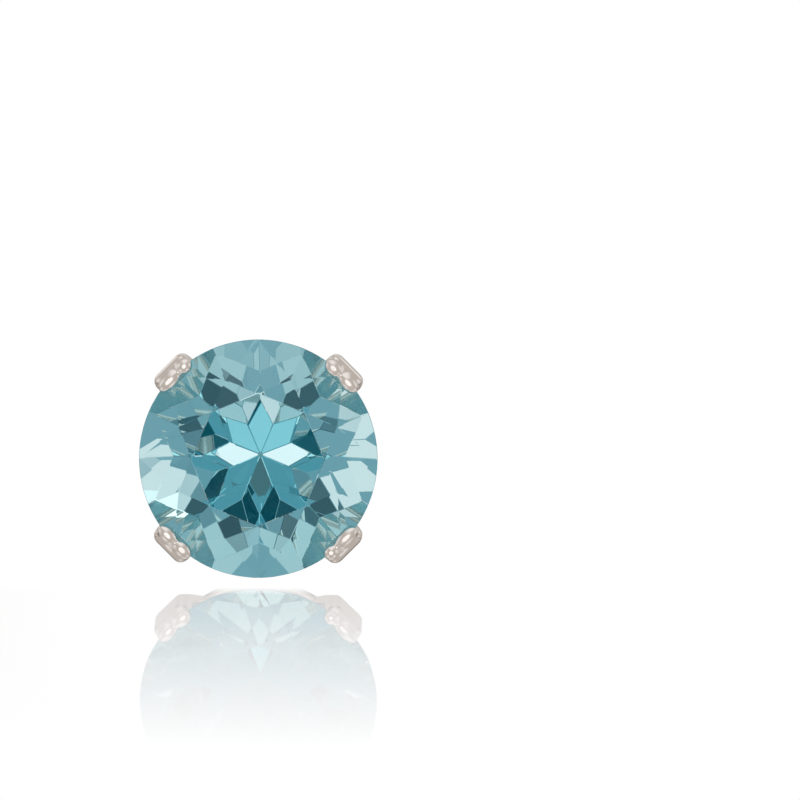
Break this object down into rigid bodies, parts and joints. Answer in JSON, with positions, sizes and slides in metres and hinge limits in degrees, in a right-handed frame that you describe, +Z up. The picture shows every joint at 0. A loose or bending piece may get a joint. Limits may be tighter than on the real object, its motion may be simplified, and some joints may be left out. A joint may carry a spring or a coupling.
{
  "type": "stud earring",
  "caption": "Round brilliant-cut pale blue stone in a silver claw setting on a straight post, held behind the ear lobe by a butterfly nut.",
  "frame": {"origin": "on the surface that the stud lies on, under the middle of its bounding box", "axes": "+Z up; the stone faces -Y and a little up, and the post runs back towards +Y and a little down; +X to the stone's right as seen from in front"},
  "size_m": [0.007, 0.0156, 0.007],
  "materials": {
    "stone": "polished facets, clear pale blue",
    "silver": "polished silver"
  },
  "bodies": {
    "root": {"stone": "stone", "setting": "silver", "butterfly_nut": "silver"}
  },
  "joints": []
}
